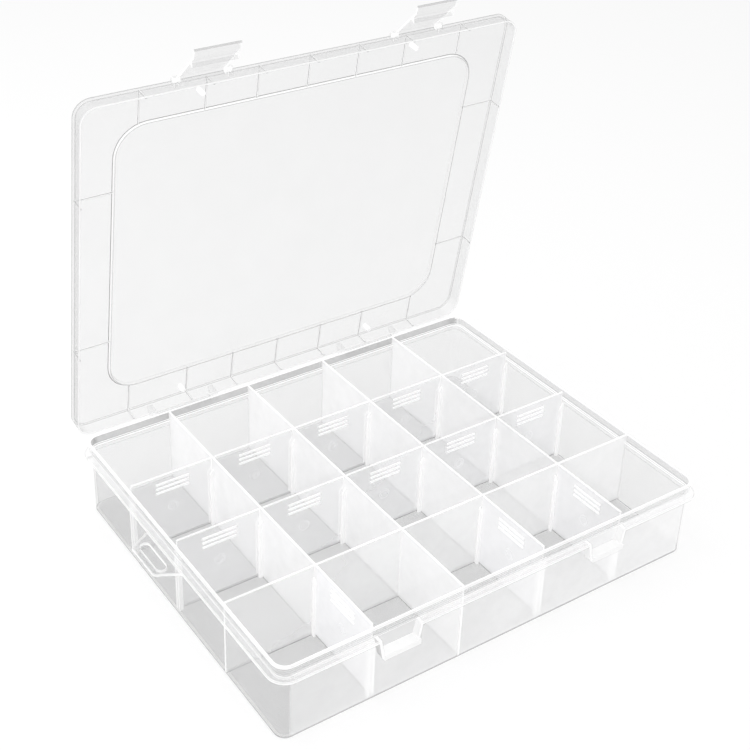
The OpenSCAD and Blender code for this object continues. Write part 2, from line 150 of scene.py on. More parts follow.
# The studio floor's half side, and how far below the box it lies
STAGE_SIZE, STAGE_DROP = 6.0, 0.2 * MM
# The world's strength for the light that it sheds, and where it is seen
WORLD_LIGHT, WORLD_SEEN = 0.93, 1.0
# See-through faces that a ray may pass, enough for every wall of the box in one line
SEE_THROUGH = 64
# Each lamp's name, place in metres, side and power, and the place that all of them face
SOFTBOXES = (
    ("key_softbox", (-0.6, 0.5, 1.6), 1.2, 4.0),
    ("side_softbox", (-1.5, -0.7, 0.9), 0.9, 1.6),
    ("front_softbox", (0.9, -1.3, 1.1), 0.8, 1.0),
)
SOFTBOX_AIM = Vector((0.0, 0.0, 0.1))

# The photograph in pixels: its side, the camera's focal length, and the point straight ahead of the camera
PHOTO_SIDE, FOCAL_LENGTH, AHEAD_X, AHEAD_Y = 750.0, 1383.8, 317.8, 267.8
SENSOR_MM, CLIP_START = 36.0, 0.01
CAMERA_PLACE = Vector((-479.5, -642.1, 647.8)) * MM
CAMERA_FORWARD = Vector((0.4812, 0.7358, -0.4764)).normalized()
CAMERA_RIGHT = Vector((0.8408, -0.5412, 0.0133)).normalized()


def col_line(number):
    """Place along X of a line between columns, numbered from the left."""
    return (number - COLUMNS / 2) * 2 * (BEAD_X - BEAD_OUT) / COLUMNS


def row_line(number):
    """Place along Y of a line between rows, numbered from the back."""
    return (ROWS / 2 - number) * 2 * (BEAD_Y - BEAD_OUT) / ROWS


def length(name, description, default):
    """A setting in metres."""
    return FloatProperty(
        name=name, description=description, default=default, min=0.0, unit="LENGTH", precision=5)


def colour(name, description, default):
    """A colour setting."""
    return FloatVectorProperty(
        name=name, description=description, default=default, subtype="COLOR", size=3, min=0.0, max=1.0)


def factor(name, description, default):
    """A setting from 0 to 1."""
    return FloatProperty(
        name=name, description=description, default=default, subtype="FACTOR", min=0.0, max=1.0)


class ThreadBoxSizes(bpy.types.PropertyGroup):
    """Sizes of the rounded edges and of the dividers' raised forms."""

    shell_edge: length("Shell edge radius", "Rounding of the tray's and the lid's edges", 0.35 * MM)
    small_edge: length("Small edge radius", "Rounding of the edges of small pieces and ribs", 0.25 * MM)
    grip_out: length("Grip height", "How far a divider's grip ridges stand out", 0.6 * MM)
    grip_length: length("Grip length", "Length of a grip ridge", 26.0 * MM)
    grip_width: length("Grip width", "Width of a grip ridge, up the divider", 1.7 * MM)
    grip_step: length("Grip step", "Distance from one grip ridge to the next", 3.7 * MM)
    grip_drop: length("Grip drop", "Depth of the first ridge below the divider's top", 6.0 * MM)
    mark_radius: length("Mark radius", "Outer radius of the round moulding mark on a divider", 4.2 * MM)


class ThreadBoxLooks(bpy.types.PropertyGroup):
    """Colours, haze and painted glow of the plastic."""

    shell_colour: colour("Shell colour", "Tint of the clear tray", (0.97, 0.97, 0.975))
    lid_colour: colour("Lid colour", "Tint of the clear lid and latches", (0.95, 0.95, 0.955))
    divider_colour: colour("Divider colour", "Tint of the lift-out dividers", (0.97, 0.97, 0.985))
    # Tint of the painted highlights and painted shade lines: the bright edge, crease, dark line and fold
    # materials
    edge_colour: colour("Edge colour", "Tint of thin faces, which pipe light", (0.99, 0.99, 0.99))
    floor_colour: colour("Floor colour", "Tint of the tray's bottom plate", (0.97, 0.97, 0.98))
    partition_colour: colour("Partition colour", "Tint of the fixed partitions", (0.98, 0.98, 0.985))
    shell_haze: factor("Shell haze", "How much one face of the tray hides", 0.13)
    lid_haze: factor("Lid haze", "How much one face of the lid hides", 0.10)
    divider_haze: factor("Divider haze", "How much one face of a divider hides", 0.36)
    partition_haze: factor("Partition haze", "How much one face of a partition hides", 0.30)
    floor_haze: factor("Floor haze", "How much one face of the tray's floor hides", 0.22)
    latch_haze: factor("Latch haze", "How much one face of a latch hides", 0.12)
    edge_haze: factor("Edge haze", "How much one bright edge hides", 0.7)
    # Painted glow: emission on the bright edges, which are no lamp
    edge_painted_glow: factor("Edge glow", "Light that comes out of the bright edges", 0.12)
    # Painted glow: emission on partitions and dividers, which are no lamp
    partition_painted_glow: factor("Partition glow", "Light that comes out of partitions and dividers", 0.07)


def settings():
    """The scene's sizes and looks."""
    return bpy.context.scene.thread_box_sizes, bpy.context.scene.thread_box_looks


# Materials


def add_node(tree, kind, place, **inputs):
    """A shader node at a place in the tree, with plain values on its sockets."""
    node = tree.nodes.new(kind)
    node.location = place
    for name, value in inputs.items():
        node.inputs[name.replace("_", " ")].default_value = value
    return node


def add_math(tree, operation, place, first, second):
    """A math node fed by a socket and by a socket or a number."""
    node = add_node(tree, "ShaderNodeMath", place)
    node.operation = operation
    tree.links.new(first, node.inputs[0])
    if isinstance(second, float):
        node.inputs[1].default_value = second
    else:
        tree.links.new(second, node.inputs[1])
    return node.outputs["Value"]


def add_range(tree, place, value, low, high, start=0.0, end=1.0):
    """Maps a socket from low..high to start..end."""
    node = add_node(tree, "ShaderNodeMapRange", place)
    node.inputs["From Min"].default_value = low
    node.inputs["From Max"].default_value = high
    node.inputs["To Min"].default_value = start
    node.inputs["To Max"].default_value = end
    tree.links.new(value, node.inputs["Value"])
    return node.outputs["Result"]


def seen_directly(tree, place):
    """1 for what the camera sees, straight, reflected or through glass; 0 for light that bounces."""
    path = add_node(tree, "ShaderNodeLightPath", place)
    either = add_math(tree, "MAXIMUM", (place[0] + 180, place[1]),
                      path.outputs["Is Camera Ray"], path.outputs["Is Glossy Ray"])
    return add_math(tree, "MAXIMUM", (place[0] + 360, place[1]), either, path.outputs["Is Transmission Ray"])


def clear_plastic(
        name, tint, haze, roughness, shades, hazes, specular=FACE_SPECULAR, shadow=CLEAR_SHADOW, glow=0.0):
    """Clear moulded plastic.

    shades and hazes are (slant, factor) stops, from 0 face-on to 1 edge-on, for how bright the plastic's
    own haze is and how much of it there is; the shades are painted shade and highlight by slant. shadow is
    how much of the haze holds light back, and glow is painted glow, an emission for light piped from
    elsewhere.
    """
    material = bpy.data.materials.new(name)
    material.use_nodes = True
    tree = material.node_tree
    tree.nodes.clear()
    output = add_node(tree, "ShaderNodeOutputMaterial", (1100, 0))
    shader = add_node(tree, "ShaderNodeBsdfPrincipled", (800, 0), IOR=PLASTIC_IOR)
    shader.inputs["Specular IOR Level"].default_value = specular
    # The emission is painted glow: the plastic shines though it is no lamp
    shader.inputs["Emission Color"].default_value = (1.0, 1.0, 1.0, 1.0)
    shader.inputs["Emission Strength"].default_value = glow
    tree.links.new(shader.outputs["BSDF"], output.inputs["Surface"])
    place = add_node(tree, "ShaderNodeTexCoord", (-1100, 0)).outputs["Object"]
    slant = add_node(tree, "ShaderNodeLayerWeight", (-1100, -240), Blend=0.5).outputs["Facing"]

    clouds = add_node(
        tree, "ShaderNodeTexNoise", (-820, 300), Scale=CLOUD_SCALE, Detail=4.0, Roughness=0.55)
    tree.links.new(place, clouds.inputs["Vector"])
    # The shade ramp paints the haze lighter or darker by slant: painted shade and highlight
    shade = add_node(tree, "ShaderNodeValToRGB", (-820, -60))
    amount = add_node(tree, "ShaderNodeValToRGB", (-820, -340))
    densest = max(level for _, level in hazes)
    for ramp, stops, top in ((shade, shades, 1.0), (amount, hazes, densest)):
        tree.links.new(slant, ramp.inputs["Fac"])
        while len(ramp.color_ramp.elements) < len(stops):
            ramp.color_ramp.elements.new(1.0)
        for element, (at, level) in zip(ramp.color_ramp.elements, stops):
            element.position = at
            level /= top
            element.color = (level, level, level, 1.0)

    tinted = add_node(tree, "ShaderNodeMix", (-300, 300))
    tinted.data_type = "RGBA"
    tinted.inputs["A"].default_value = (*[channel * CLOUD_TINT for channel in tint], 1.0)
    tinted.inputs["B"].default_value = (*tint, 1.0)
    tree.links.new(
        add_range(tree, (-560, 300), clouds.outputs["Fac"], 0.35, 0.65), tinted.inputs["Factor"])
    shaded = add_node(tree, "ShaderNodeMix", (200, 200))
    shaded.data_type = "RGBA"
    shaded.blend_type = "MULTIPLY"
    shaded.inputs["Factor"].default_value = 1.0
    tree.links.new(tinted.outputs["Result"], shaded.inputs["A"])
    tree.links.new(shade.outputs["Color"], shaded.inputs["B"])
    tree.links.new(shaded.outputs["Result"], shader.inputs["Base Color"])

    haze *= densest
    cloudy = add_range(
        tree, (-560, 100), clouds.outputs["Fac"], 0.3, 0.7,
        haze * (1 - HAZE_SPREAD), haze * (1 + HAZE_SPREAD))
    milk = add_math(tree, "MULTIPLY", (-300, -240), amount.outputs["Color"], cloudy)
    through = add_range(tree, (-300, -460), seen_directly(tree, (-1100, -620)), 0.0, 1.0, shadow, 1.0)
    hides = add_math(tree, "MULTIPLY", (200, -240), milk, through)
    hides.node.use_clamp = True
    tree.links.new(hides, shader.inputs["Alpha"])

    fine = add_node(tree, "ShaderNodeTexNoise", (-300, -700), Scale=FINE_SCALE, Detail=3.0, Roughness=0.5)
    tree.links.new(place, fine.inputs["Vector"])
    uneven = add_range(
        tree, (200, -440), fine.outputs["Fac"], 0.0, 1.0,
        roughness * (1 - ROUGHNESS_SPREAD), roughness * (1 + ROUGHNESS_SPREAD))
    tree.links.new(uneven, shader.inputs["Roughness"])
    bump = add_node(tree, "ShaderNodeBump", (200, -700), Strength=FINE_STRENGTH, Distance=FINE_DEPTH)
    tree.links.new(fine.outputs["Fac"], bump.inputs["Height"])
    tree.links.new(bump.outputs["Normal"], shader.inputs["Normal"])
    return material


# Slant stops, from face-on to edge-on: how bright the plastic's haze is, and how dense against its plain
# haze. The brightness stops paint shade and highlight by slant; plain faces go darker edge-on as painted
# shade
FACE_SHADES = ((0.2, 0.55), (0.5, 0.68), (0.75, 0.58), (1.0, 0.42))
FACE_HAZES = ((0.2, 1.0), (0.5, 1.4), (0.75, 2.0), (1.0, 3.0))
# The tray's floor, painted darker: painted shade
FLOOR_SHADES = ((0.2, 0.48), (0.5, 0.52), (0.75, 0.50), (1.0, 0.45))
FLOOR_HAZES = ((0.2, 1.0), (0.5, 1.0), (0.75, 1.3), (1.0, 2.0))
# Partitions, dividers and other places painted near white: painted light
PARTITION_SHADES = ((0.2, 0.85), (0.5, 1.0), (0.75, 1.0), (1.0, 0.8))
PARTITION_HAZES = ((0.2, 0.35), (0.35, 0.7), (0.5, 2.1), (0.75, 2.3), (1.0, 2.6))
# The lid's skirt, painted greyer: painted shade
SKIRT_SHADES = ((0.2, 0.72), (0.5, 0.66), (0.75, 0.52), (1.0, 0.40))
SKIRT_HAZES = ((0.2, 1.5), (0.5, 2.2), (0.75, 2.8), (1.0, 4.0))
# The latch, painted lighter edge-on: painted highlight
LATCH_SHADES = ((0.2, 0.55), (0.5, 0.62), (0.75, 0.70), (1.0, 0.65))
LATCH_HAZES = ((0.2, 1.0), (0.5, 1.4), (0.75, 1.8), (1.0, 2.4))
# Bright edges: painted highlight
EDGE_SHADES = ((0.0, 1.0), (0.7, 1.0), (1.0, 0.9))
EDGE_HAZES = ((0.0, 1.05), (1.0, 1.2))
# Creases: painted highlight face-on, painted shade edge-on
CREASE_SHADES = ((0.0, 1.0), (0.55, 1.0), (0.8, 0.30), (1.0, 0.20))
CREASE_HAZES = ((0.0, 1.0), (0.55, 1.0), (0.8, 1.25), (1.0, 1.25))
# Dark lines: painted shade
LINE_SHADES = ((0.0, 0.26), (1.0, 0.20))
LINE_HAZES = ((0.0, 1.1), (1.0, 1.3))
# Folds: softer painted shade
FOLD_SHADES = ((0.0, 0.50), (1.0, 0.40))
FOLD_HAZES = ((0.0, 0.75), (1.0, 1.0))


def shell_materials(piece, looks, face):
    """The face material of one moulded piece, with its bright edge's painted highlight, the crease's painted
    highlight and shade, and the painted shade of its dark line and fold.
    """
    materials = [face]
    for name, shades, hazes, specular, glow in (
        ("painted_highlight_edge", EDGE_SHADES, EDGE_HAZES, FACE_SPECULAR, looks.edge_painted_glow),
        ("crease", CREASE_SHADES, CREASE_HAZES, LINE_SPECULAR, 0.0),
        ("painted_shade_line", LINE_SHADES, LINE_HAZES, LINE_SPECULAR, 0.0),
        ("fold", FOLD_SHADES, FOLD_HAZES, LINE_SPECULAR, 0.0),
    ):
        materials.append(clear_plastic(
            f"{piece}_{name}", looks.edge_colour, looks.edge_haze, EDGE_ROUGHNESS, shades, hazes, specular,
            glow=glow))
    return materials


def studio_floor():
    """Pale floor that looks white to the eye and keeps the box's soft shadow."""
    material = bpy.data.materials.new("pale_studio_floor")
    material.use_nodes = True
    tree = material.node_tree
    tree.nodes.clear()
    output = add_node(tree, "ShaderNodeOutputMaterial", (600, 0))
    total = add_node(tree, "ShaderNodeAddShader", (420, 0))
    shader = add_node(tree, "ShaderNodeBsdfPrincipled", (100, 100), Roughness=STAGE_ROUGHNESS)
    shader.inputs["Base Color"].default_value = (STAGE_GREY, STAGE_GREY, STAGE_GREY, 1.0)
    shader.inputs["Specular IOR Level"].default_value = 0.0
    lift = add_math(tree, "MULTIPLY", (60, -160), seen_directly(tree, (-500, -160)), STAGE_LIFT)
    glow = add_node(tree, "ShaderNodeEmission", (240, -120))
    tree.links.new(lift, glow.inputs["Strength"])
    tree.links.new(shader.outputs["BSDF"], total.inputs[0])
    tree.links.new(glow.outputs["Emission"], total.inputs[1])
    tree.links.new(total.outputs["Shader"], output.inputs["Surface"])
    return material


# Mesh helpers


def face_width(face):
    """Rough width of a long thin face: twice its area over its outline's length."""
    outline = sum(edge.calc_length() for edge in face.edges)
    return 2.0 * face.calc_area() / outline if outline else 0.0


def only(geometry, kind):
    """The items of one kind among those that a mesh operator gives back."""
    return [item for item in geometry if isinstance(item, kind)]


def new_piece(name, shape, materials):
    """An object made from a bmesh, whose flat faces stay flat beside its rounded edges."""
    mesh = bpy.data.meshes.new(name)
    for face in shape.faces:
        face.smooth = True
    shape.to_mesh(mesh)
    shape.free()
    for material in materials:
        mesh.materials.append(material)
    piece = bpy.data.objects.new(name, mesh)
    bpy.context.scene.collection.objects.link(piece)
    piece.modifiers.new("flat faces stay flat", "WEIGHTED_NORMAL")
    return piece


def stand_in_for(piece, node):
    """The piece replaces a CAD node and moves with its body."""
    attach(piece, node)
    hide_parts(node)


def finish_solid(shape, radius, crease=CREASE):
    """Rounds the sharp edges of a closed solid and points its faces outward."""
    bmesh.ops.remove_doubles(shape, verts=shape.verts, dist=MERGE_DISTANCE)
    bmesh.ops.recalc_face_normals(shape, faces=shape.faces)
    sharp = [edge for edge in shape.edges if edge.is_manifold and edge.calc_face_angle() > SHARP_ANGLE]
    bmesh.ops.bevel(
        shape, geom=sharp, offset=radius, offset_type="OFFSET", segments=BEVEL_STEPS, profile=0.5,
        affect="EDGES", material=crease, clamp_overlap=True)


def join(whole, part, matrix=None):
    """Adds a solid to a piece and frees it."""
    if matrix is not None:
        bmesh.ops.transform(part, matrix=matrix, verts=part.verts)
    mesh = bpy.data.meshes.new("part")
    part.to_mesh(mesh)
    part.free()
    whole.from_mesh(mesh)
    bpy.data.meshes.remove(mesh)


def bar(low, high, radius, wide=FACE, thin=EDGE, crease=CREASE, banded=False):
    """A box with rounded edges between two corners; its narrow faces take the thin material.

    A banded one takes a painted highlight and glow in a band below its top, as its top edge does, and a
    painted shade line at its foot.
    """
    low, high = Vector(low), Vector(high)
    shape = bmesh.new()
    bmesh.ops.create_cube(shape, size=1.0)
    bmesh.ops.scale(shape, vec=high - low, verts=shape.verts)
    bmesh.ops.translate(shape, vec=(low + high) / 2.0, verts=shape.verts)
    for face in shape.faces:
        face.material_index = wide if face_width(face) > THIN else thin
    if banded:
        # Painted highlight band below the top, painted shade line at the foot
        top, foot = high.z - PAINTED_LIGHT_TOP, low.z + PAINTED_SHADE_FOOT
        for height in (top, foot):
            bmesh.ops.bisect_plane(
                shape, geom=[*shape.verts, *shape.edges, *shape.faces], plane_co=(0.0, 0.0, height),
                plane_no=(0.0, 0.0, 1.0))
        for face in shape.faces:
            middle = face.calc_center_median().z
            if middle > top or middle < foot:
                face.material_index = thin if middle > top else LINE
    finish_solid(shape, radius, crease)
    return shape


def rod(centre, axis, radius, reach, material=EDGE):
    """A round pin along X, Y or Z with softened ends."""
    shape = bmesh.new()
    bmesh.ops.create_cone(
        shape, cap_ends=True, segments=ROUND_STEPS, radius1=radius, radius2=radius, depth=reach)
    # The faces take the given material, by default the bright edge's painted highlight
    for face in shape.faces:
        face.material_index = material
    finish_solid(shape, min(ROD_EDGE, radius / 2), material)
    turn = Vector((0.0, 0.0, 1.0)).rotation_difference(Vector(axis)).to_matrix().to_4x4()
    bmesh.ops.transform(shape, matrix=Matrix.Translation(centre) @ turn, verts=shape.verts)
    return shape


def arc(shape, vert, centre, angle, steps):
    """Swings a vertex round an upright axis, leaving edges behind it, and gives back the last one."""
    last = bmesh.ops.spin(
        shape, geom=[vert], cent=centre, axis=(0.0, 0.0, 1.0), angle=angle, steps=steps)["geom_last"]
    return only(last, bmesh.types.BMVert)[0]


def line_to(shape, vert, place):
    """Draws an edge from a vertex to a new place."""
    new = bmesh.ops.extrude_vert_indiv(shape, verts=[vert])["verts"][0]
    new.co = place
    return new


def outline(shape, half_x, half_y, radius, z):
    """A closed loop of edges round a rectangle with round corners."""
    before = set(shape.edges)
    first = vert = shape.verts.new((half_x - radius, -half_y, z))
    for sx, sy, next_place in (
        (1, -1, (half_x, half_y - radius, z)),
        (1, 1, (radius - half_x, half_y, z)),
        (-1, 1, (-half_x, radius - half_y, z)),
        (-1, -1, None),
    ):
        centre = (sx * (half_x - radius), sy * (half_y - radius), z)
        vert = arc(shape, vert, centre, math.pi / 2, CORNER_STEPS)
        if next_place:
            vert = line_to(shape, vert, next_place)
    shape.edges.new((vert, first))
    return [edge for edge in shape.edges if edge not in before]


def skin(shape, loops, materials):
    """Spans each loop to the next one, edge to edge; each band takes its own material."""
    for near, far, material in zip(loops, loops[1:], materials):
        for pair in zip(near, far):
            for face in bmesh.ops.contextual_create(shape, geom=pair)["faces"]:
                face.material_index = material


def cap(shape, loop, material):
    """Closes a loop with one flat face."""
    for item in bmesh.ops.contextual_create(shape, geom=loop)["faces"]:
        item.material_index = material


def slab(points, depth, radius, matrix, arcs=(), wide=FACE, thin=EDGE, crease=CREASE):
    """A flat shape of (across, up) points, made depth thick about its own plane.

    arcs gives, for the number of a point, the centre and angle of the round corner drawn on from it,
    which ends where the next point is.
    """
    shape = bmesh.new()
    arcs = dict(arcs)
    first = vert = shape.verts.new((*points[0], -depth / 2))
    for number in range(len(points)):
        if number in arcs:
            centre, angle = arcs[number]
            vert = arc(shape, vert, (*centre, -depth / 2), angle, ARC_STEPS)
        elif number + 1 < len(points):
            vert = line_to(shape, vert, (*points[number + 1], -depth / 2))
    shape.edges.new((vert, first))
    face = bmesh.ops.contextual_create(shape, geom=list(shape.edges))["faces"][0]
    raised = bmesh.ops.extrude_face_region(shape, geom=[face])["geom"]
    bmesh.ops.translate(shape, vec=(0.0, 0.0, depth), verts=only(raised, bmesh.types.BMVert))
    for face in shape.faces:
        face.material_index = wide if face_width(face) > THIN else thin
    finish_solid(shape, radius, crease)
    bmesh.ops.transform(shape, matrix=matrix, verts=shape.verts)
    return shape


def ring(corners, axis):
    """A hoop round X or Y, from the (along, out) corners of its section."""
    shape = bmesh.new()
    about_x = axis == "X"
    verts = [shape.verts.new((along, out, 0.0) if about_x else (out, along, 0.0)) for along, out in corners]
    edges = [shape.edges.new(pair) for pair in zip(verts, verts[1:] + verts[:1])]
    bmesh.ops.spin(
        shape, geom=verts + edges, cent=(0.0, 0.0, 0.0), axis=(1.0, 0.0, 0.0) if about_x else (0.0, 1.0, 0.0),
        angle=math.tau, steps=ROUND_STEPS, use_merge=True)
    return shape


def upright(x):
    """Carries a flat shape's (across, up) to (Y, Z), with its thickness along X about x."""
    return Matrix(((0, 0, 1, x), (1, 0, 0, 0), (0, 1, 0, 0), (0, 0, 0, 1)))


def facing(y):
    """Carries a flat shape's (across, up) to (X, Z), with its thickness along Y about y."""
    return Matrix(((1, 0, 0, 0), (0, 0, -1, y), (0, 1, 0, 0), (0, 0, 0, 1)))


# Pieces


class OBJECT_OT_thread_box_tray(bpy.types.Operator):
    """Makes the clear tray with its rim, partitions, guide ribs, catches and hang tab"""

    bl_idname = "object.thread_box_tray"
    bl_label = "Tray"

    def shell(self, edge):
        """Walls, ledge, lip and bead in one skin, closed by the floor."""
        shape = bmesh.new()
        # Each band's material paints light or shade by place: a painted shade fold round the foot, painted
        # light under and on the ledge, and painted highlights round the bead and the top; the floor's faces
        # take the haze painted darker as shade
        stations = (
            (WALL_INSET, 0.0, FOLD), (WALL_INSET, FLOOR_T, FACE),
            (WALL_INSET, LEDGE_Z - LEDGE_T, PARTITION), (BEAD_OUT, LEDGE_Z - LEDGE_T, FACE),
            (BEAD_OUT, TRAY_H - BEAD_H, EDGE), (0.0, TRAY_H - BEAD_H, EDGE), (0.0, TRAY_H, EDGE),
            (LIP_IN, TRAY_H, FACE), (LIP_IN, LEDGE_Z, PARTITION), (WALL_IN, LEDGE_Z, FACE),
            (WALL_IN, FLOOR_T, FACE))
        loops = [
            outline(shape, BEAD_X - inset, BEAD_Y - inset, CORNER_R - inset, z) for inset, z, _ in stations]
        skin(shape, loops, [material for _, _, material in stations])
        cap(shape, loops[0], FLOOR)
        cap(shape, loops[-1], FLOOR)
        finish_solid(shape, edge)
        self.recolour(shape, edge)
        return shape

    def recolour(self, shape, edge):
        """Gives the shell's faces the materials of the places where they are, which paint highlights and
        shade there.
        """
        for face in shape.faces:
            middle = face.calc_center_median()
            crease = face.material_index == CREASE
            inset = min(BEAD_X - abs(middle.x), BEAD_Y - abs(middle.y))
            if crease and middle.z > LEDGE_Z - 2 * LEDGE_T and inset > edge:
                # The rim's folds, apart from the outermost, take a painted highlight
                face.material_index = EDGE
            elif crease and middle.z < edge:
                # Round the underside, a painted shade line
                face.material_index = FOLD
            elif LEDGE_Z < middle.z < TRAY_H - edge and BEAD_Y - WALL_IN < middle.y < BEAD_Y - BEAD_OUT:
                # The lip's inner face at the back, painted darker as shade
                face.material_index = FOLD
            elif face.material_index in (FACE, PARTITION) and (
                    middle.z > LEDGE_Z - edge and BEAD_X - WALL_IN < middle.x < BEAD_X - BEAD_OUT):
                # The lip's inner face at the right, painted darker as shade
                face.material_index = FLOOR
            elif FLOOR_T < middle.z < LEDGE_Z - LEDGE_T and middle.y < -BEAD_Y + WALL_INSET + edge:
                # The outer face of the front wall, painted light
                face.material_index = PARTITION

    def flange(self):
        """The long part of the flange, from the right catch round the back to the left catch."""
        shape = bmesh.new()
        low_y, high_y = -BEAD_Y - FLANGE_OUT, -BEAD_Y + WALL_INSET + OVERLAP
        low_z = FLANGE_Z - FLANGE_T
        gap = STATION_X + CATCH_W / 2 - CATCH_LEG
        start = [shape.verts.new((gap, y, z)) for y, z in (
            (low_y, low_z), (high_y, low_z), (high_y, FLANGE_Z), (low_y, FLANGE_Z))]
        section = [shape.faces.new(start)]
        arm_x, arm_y = BEAD_X - CORNER_R, BEAD_Y - CORNER_R

        def push(faces, way):
            moved = bmesh.ops.extrude_face_region(shape, geom=faces)["geom"]
            bmesh.ops.translate(shape, vec=way, verts=only(moved, bmesh.types.BMVert))
            return only(moved, bmesh.types.BMFace)

        def swing(faces, centre):
            last = bmesh.ops.spin(
                shape, geom=faces, cent=centre, axis=(0.0, 0.0, 1.0), angle=math.pi / 2,
                steps=CORNER_STEPS)["geom_last"]
            # Spin keeps the faces that it starts from, which would stay inside
            bmesh.ops.delete(shape, geom=[face for face in faces if face.is_valid], context="FACES_ONLY")
            return only(last, bmesh.types.BMFace)

        for way, centre in (
            ((arm_x - gap, 0.0, 0.0), (arm_x, -arm_y, 0.0)),
            ((0.0, 2 * arm_y, 0.0), (arm_x, arm_y, 0.0)),
            ((-2 * arm_x, 0.0, 0.0), (-arm_x, arm_y, 0.0)),
            ((0.0, -2 * arm_y, 0.0), (-arm_x, -arm_y, 0.0)),
        ):
            section = swing(push(section, way), centre)
        push(section, (arm_x - gap, 0.0, 0.0))
        bmesh.ops.recalc_face_normals(shape, faces=shape.faces)
        # Level faces painted light, the sides a painted highlight
        for face in shape.faces:
            level = abs(face.normal.z) > 0.5
            face.material_index = PARTITION if level else EDGE
        finish_solid(shape, FLANGE_ROUND)
        return shape

    def partitions(self, tray, edge):
        """Four partitions from front to back, one across, and one short one in the front row."""
        low = FLOOR_T - OVERLAP
        half = PARTITION_T / 2
        end_x, end_y = BEAD_X - LIP_IN + OVERLAP, BEAD_Y - LIP_IN + OVERLAP
        # Partitions painted light, with painted highlights on their edges, a painted highlight band at the
        # top and a painted shade line at the foot
        finish = {"wide": PARTITION, "crease": EDGE, "banded": True}
        front = row_line(CROSS_LINE)
        for i in range(1, COLUMNS):
            x = col_line(i)
            join(tray, bar((x - half, front, low), (x + half, end_y, TRAY_H), edge, **finish))
        join(tray, bar((-end_x, front - half, low), (end_x, front + half, TRAY_H), edge, **finish))
        x = col_line(FIXED_FRONT_LINE)
        join(tray, bar((x - half, -end_y, low), (x + half, front, TRAY_H), edge, **finish))

    def guides(self, tray, edge):
        """The pairs of ribs that hold the dividers' ends."""
        profile = (
            (-OVERLAP, FLOOR_T - OVERLAP), (GUIDE_OUT, FLOOR_T - OVERLAP), (GUIDE_OUT, GUIDE_Z - GUIDE_LEAD),
            (0.0, GUIDE_Z), (-OVERLAP, GUIDE_Z))
        half = PARTITION_T / 2
        stands = []
        for j in DIVIDER_ROW_LINES:
            for i in range(1, COLUMNS):
                stands += [(col_line(i) + half, row_line(j), 0), (col_line(i) - half, row_line(j), 180)]
            stands += [(-BEAD_X + WALL_IN, row_line(j), 0), (BEAD_X - WALL_IN, row_line(j), 180)]
        for i in DIVIDER_FRONT_LINES:
            x = col_line(i)
            stands += [(x, -BEAD_Y + WALL_IN, 90), (x, row_line(CROSS_LINE) - half, -90)]
        for x, y, turn in stands:
            spot = Matrix.Translation((x, y, 0.0)) @ Matrix.Rotation(math.radians(turn), 4, "Z")
            for side in (-1, 1):
                middle = facing(side * (SLOT_GAP + GUIDE_W) / 2)
                # The guide ribs are painted highlight all over
                join(tray, slab(profile, GUIDE_W, edge, middle, wide=EDGE, crease=EDGE), spot)

    def catches_and_barrels(self, tray, edge):
        """The catches in front and the hinge barrels behind."""
        wall_y = -BEAD_Y + WALL_INSET
        leg_y = -BEAD_Y - FLANGE_OUT
        for side in (-1, 1):
            spot = Matrix.Translation((side * STATION_X, 0.0, 0.0))
            # The catches take the crease material: painted highlight face-on, painted shade edge-on
            for hand in (-1, 1):
                leg = [(hand * x, z) for x, z in (
                    (CATCH_W / 2, FLANGE_Z), (CATCH_W / 2 - CATCH_LEG, FLANGE_Z),
                    (CATCH_FOOT / 2 - CATCH_LEG, CATCH_Z), (CATCH_FOOT / 2, CATCH_Z))]
                depth, middle = wall_y - leg_y + OVERLAP, (wall_y + leg_y + OVERLAP) / 2
                join(tray, slab(leg, depth, edge, facing(middle), wide=CREASE), spot)
            join(tray, bar(
                (-CATCH_FOOT / 2, CATCH_Y, CATCH_Z),
                (CATCH_FOOT / 2, wall_y + OVERLAP, CATCH_Z + CATCH_H), edge, wide=CREASE), spot)
            bore, half = PIN_R + PIN_GAP, BARREL_LEN / 2
            tube = ring(((-half, bore), (-half, BARREL_R), (half, BARREL_R), (half, bore)), "X")
            finish_solid(tube, edge)
            join(tray, tube, Matrix.Translation((side * STATION_X, HINGE_Y, HINGE_Z)))
            join(tray, bar(
                (-half, BEAD_Y + FLANGE_OUT - OVERLAP, FLANGE_Z - FLANGE_T),
                (half, HINGE_Y, FLANGE_Z), edge), spot)
            join(tray, bar(
                (-half, HINGE_Y - BARREL_R, FLANGE_Z - OVERLAP),
                (half, HINGE_Y - PIN_R, HINGE_Z), edge), spot)

